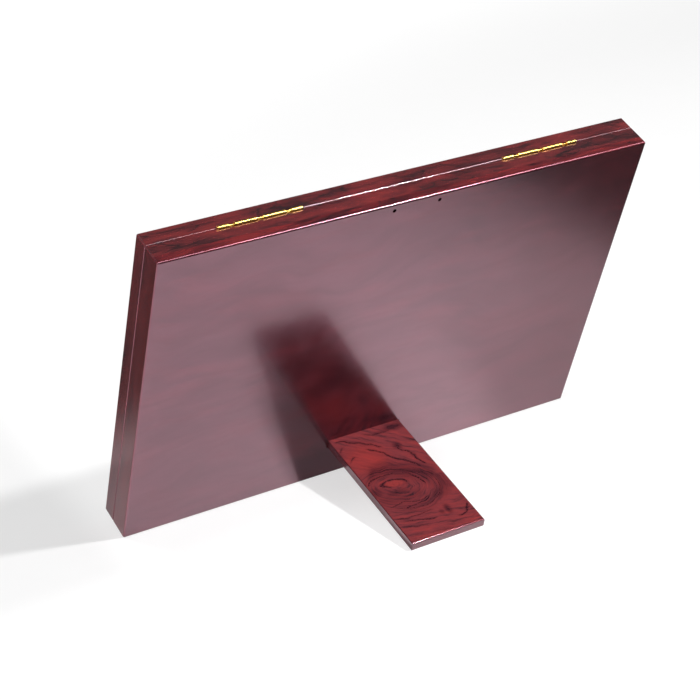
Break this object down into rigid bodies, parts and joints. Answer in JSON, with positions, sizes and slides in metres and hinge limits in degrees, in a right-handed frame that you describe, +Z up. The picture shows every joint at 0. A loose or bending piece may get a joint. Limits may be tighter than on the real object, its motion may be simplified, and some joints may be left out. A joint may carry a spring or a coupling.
{
  "type": "glass-top display case",
  "caption": "Shallow wooden display case with a hinged glazed lid, velour-lined compartments and a plug-in support leg on which it stands leaning back.",
  "frame": {"origin": "on the floor, below the centre of the standing case's footprint", "axes": "+X to the right along the case's width as seen from the glazed front, +Y to the rear where the leg stands, +Z up from the floor"},
  "size_m": [0.345, 0.137, 0.2267],
  "materials": {
    "case_lacquer": "semi-gloss rosewood lacquer",
    "leg_lacquer": "semi-gloss figured rosewood lacquer",
    "bead_lacquer": "satin lacquer",
    "brass": "polished",
    "glass": "clear float glass",
    "velour": "flocked velour",
    "magnet": "nickel plated"
  },
  "bodies": {
    "tray": {"back_board": "case_lacquer", "divider_cross_1": "velour", "divider_cross_2": "velour", "divider_cross_3": "velour", "divider_upright_1": "velour", "divider_upright_2": "velour", "divider_upright_3": "velour", "divider_upright_4": "velour", "divider_upright_5": "velour", "floor_pad": "velour", "hinge_left_pin": "brass", "hinge_left_tray_leaf": "brass", "hinge_right_pin": "brass", "hinge_right_tray_leaf": "brass", "hinge_screws_tray": "brass", "tray_magnets": "magnet", "tray_rail_bottom": "case_lacquer", "tray_rail_top": "case_lacquer", "tray_stile_left": "case_lacquer", "tray_stile_right": "case_lacquer"},
    "lid": {"glass_pane": "glass", "glazing_bead_bottom": "bead_lacquer", "glazing_bead_left": "bead_lacquer", "glazing_bead_right": "bead_lacquer", "glazing_bead_top": "bead_lacquer", "hinge_left_lid_leaf": "brass", "hinge_right_lid_leaf": "brass", "hinge_screws_lid": "brass", "lid_magnets": "magnet", "lid_rail_bottom": "case_lacquer", "lid_rail_top": "case_lacquer", "lid_stile_left": "case_lacquer", "lid_stile_right": "case_lacquer"},
    "leg": {"support_leg": "leg_lacquer"}
  },
  "joints": [
    {"name": "lid_hinge", "type": "hinge", "parent": "tray", "child": "lid", "pos_m": [0, 0.01731, 0.22341], "axis": [-1, 0, 0], "range_deg": [0, 180]},
    {"name": "leg_slide", "type": "slide", "parent": "tray", "child": "leg", "axis": [0, 0.9698, -0.2438], "range_m": [0, 0.00602]}
  ]
}
